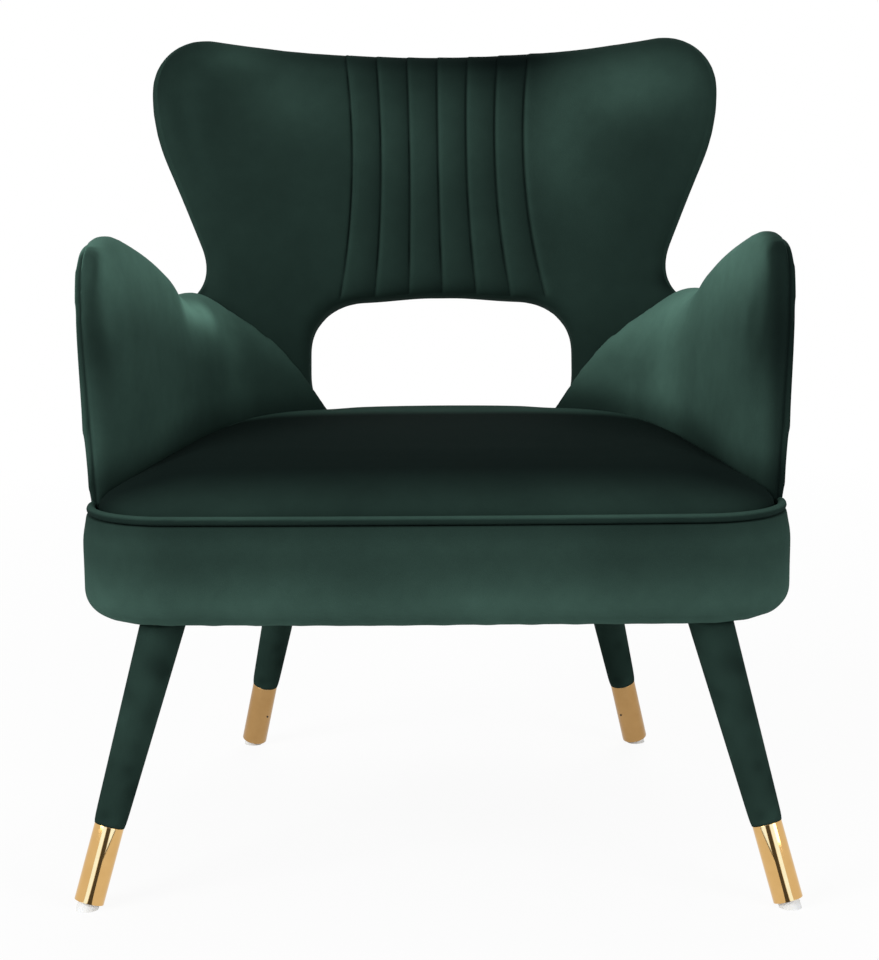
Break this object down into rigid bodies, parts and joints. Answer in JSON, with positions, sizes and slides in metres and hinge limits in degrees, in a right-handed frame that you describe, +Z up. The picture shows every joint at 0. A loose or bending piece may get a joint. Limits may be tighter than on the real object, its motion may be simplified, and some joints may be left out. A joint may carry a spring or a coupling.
{
  "type": "wingback chair",
  "caption": "Low upholstered wingback chair: hourglass back with stitched channels and an opening, flared arms, crowned tight seat, splayed round legs with brass ferrules.",
  "frame": {"origin": "on the floor under the middle of the outer box", "axes": "+Z up, -Y is the front of the chair, +X is to the right as seen from the front"},
  "size_m": [0.7046, 0.7006, 0.847],
  "materials": {
    "velvet": "deep green velvet",
    "foam": "upholstery foam",
    "dust_cloth": "black non-woven cloth",
    "webbing": "woven elastic webbing",
    "frame_wood": "raw plywood and pine",
    "turned_wood": "turned beech",
    "ferrule_brass": "polished",
    "glide_nylon": "white nylon",
    "dark_pin": "darkened",
    "steel": "zinc plated"
  },
  "bodies": {
    "root": {"arm_bolts": "steel", "back_bolts": "steel", "back_front_cover": "velvet", "back_front_foam": "foam", "back_panel": "frame_wood", "back_rear_cover": "velvet", "back_rear_foam": "foam", "dust_cover": "dust_cloth", "ferrule_brads": "dark_pin", "front_left_corner_block": "frame_wood", "front_left_ferrule": "ferrule_brass", "front_left_glide": "glide_nylon", "front_left_leg_core": "turned_wood", "front_left_leg_sleeve": "velvet", "front_rail": "frame_wood", "front_right_corner_block": "frame_wood", "front_right_ferrule": "ferrule_brass", "front_right_glide": "glide_nylon", "front_right_leg_core": "turned_wood", "front_right_leg_sleeve": "velvet", "left_arm_foam": "foam", "left_arm_inner_cover": "velvet", "left_arm_outer_cover": "velvet", "left_arm_panel": "frame_wood", "left_rail": "frame_wood", "leg_hanger_bolts": "steel", "leg_insert_nuts": "steel", "rear_left_corner_block": "frame_wood", "rear_left_ferrule": "ferrule_brass", "rear_left_glide": "glide_nylon", "rear_left_leg_core": "turned_wood", "rear_left_leg_sleeve": "velvet", "rear_rail": "frame_wood", "rear_right_corner_block": "frame_wood", "rear_right_ferrule": "ferrule_brass", "rear_right_glide": "glide_nylon", "rear_right_leg_core": "turned_wood", "rear_right_leg_sleeve": "velvet", "right_arm_foam": "foam", "right_arm_inner_cover": "velvet", "right_arm_outer_cover": "velvet", "right_arm_panel": "frame_wood", "right_rail": "frame_wood", "seat_border_cover": "velvet", "seat_border_padding": "foam", "seat_foam": "foam", "seat_piping": "velvet", "seat_top_cover": "velvet", "seat_webbing": "webbing"}
  },
  "joints": []
}
